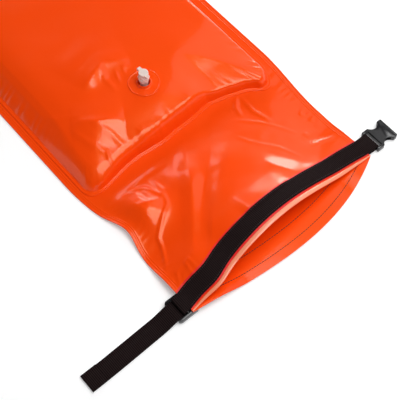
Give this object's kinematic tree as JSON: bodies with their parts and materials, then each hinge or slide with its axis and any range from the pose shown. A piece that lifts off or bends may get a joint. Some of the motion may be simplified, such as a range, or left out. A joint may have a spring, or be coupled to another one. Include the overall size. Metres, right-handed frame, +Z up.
{
  "type": "open water swim buoy",
  "caption": "Inflatable swim tow float with a roll-top dry pouch, open at the mouth, and a side-release closing buckle.",
  "frame": {"origin": "the middle of the flat underside of the rear panel, on the surface that the bag lies on", "axes": "+X across the bag towards the socket half of the buckle, +Y along the bag from the open mouth to the leash ring, +Z up through the chamber"},
  "size_m": [0.5205, 0.7566, 0.0538],
  "materials": {
    "orange_film": "glossy welded vinyl film",
    "lip_film": "glossy vinyl film, folded hem",
    "trim_tape": "woven tape",
    "black_webbing": "ribbed woven webbing",
    "buckle_plastic": "moulded, satin gloss",
    "valve_vinyl": "clear soft vinyl",
    "ring_plastic": "moulded"
  },
  "bodies": {
    "bag": {"rear_panel": "orange_film", "front_panel": "orange_film", "lip_hem": "lip_film", "trim_tape": "trim_tape", "rear_stiffener": "black_webbing", "mouth_webbing": "black_webbing", "chamber_film": "orange_film", "valve_base": "valve_vinyl", "anchor_patch": "orange_film", "anchor_tab": "black_webbing"},
    "socket": {"buckle_socket": "buckle_plastic"},
    "strap_end": {"buckle_plug": "buckle_plastic", "tail_strap": "black_webbing", "tail_hem": "black_webbing"},
    "latch_near": {"latch_arm_near": "buckle_plastic"},
    "latch_far": {"latch_arm_far": "buckle_plastic"},
    "stem": {"valve_stem": "valve_vinyl"},
    "stopper": {"valve_plug": "valve_vinyl"},
    "flap": {"valve_flap": "valve_vinyl"},
    "ring": {"leash_ring": "ring_plastic"}
  },
  "joints": [
    {"name": "socket_swing", "type": "hinge", "parent": "bag", "child": "socket", "pos_m": [0.1775, -0.3265, 0.0046], "axis": [0, -1, 0], "range_deg": [-60, 85]},
    {"name": "strap_end_swing", "type": "hinge", "parent": "bag", "child": "strap_end", "pos_m": [-0.168, -0.3475, 0.0111], "axis": [0, 1, 0], "range_deg": [0, 140]},
    {"name": "latch_near_flex", "type": "hinge", "parent": "strap_end", "child": "latch_near", "pos_m": [-0.1482, -0.3593, 0.0046], "axis": [0, 0, 1], "range_deg": [0, 8], "stiffness_Nm_per_rad": 0.2},
    {"name": "latch_far_flex", "type": "hinge", "parent": "strap_end", "child": "latch_far", "pos_m": [-0.1482, -0.3357, 0.0046], "axis": [0, 0, -1], "range_deg": [0, 8], "stiffness_Nm_per_rad": 0.2},
    {"name": "stem_push", "type": "slide", "parent": "bag", "child": "stem", "axis": [0, 0, -1], "range_m": [0, 0.011]},
    {"name": "stopper_lift", "type": "hinge", "parent": "stem", "child": "stopper", "pos_m": [-0.002, -0.0644, 0.0494], "axis": [-1, 0, 0], "range_deg": [0, 130]},
    {"name": "flap_open", "type": "hinge", "parent": "stem", "child": "flap", "pos_m": [-0.002, -0.0694, 0.0234], "axis": [1, 0, 0], "range_deg": [0, 40], "stiffness_Nm_per_rad": 0.001},
    {"name": "ring_swing", "type": "hinge", "parent": "bag", "child": "ring", "pos_m": [0, 0.3565, 0.0072], "axis": [1, 0, 0], "range_deg": [-60, 140]}
  ]
}
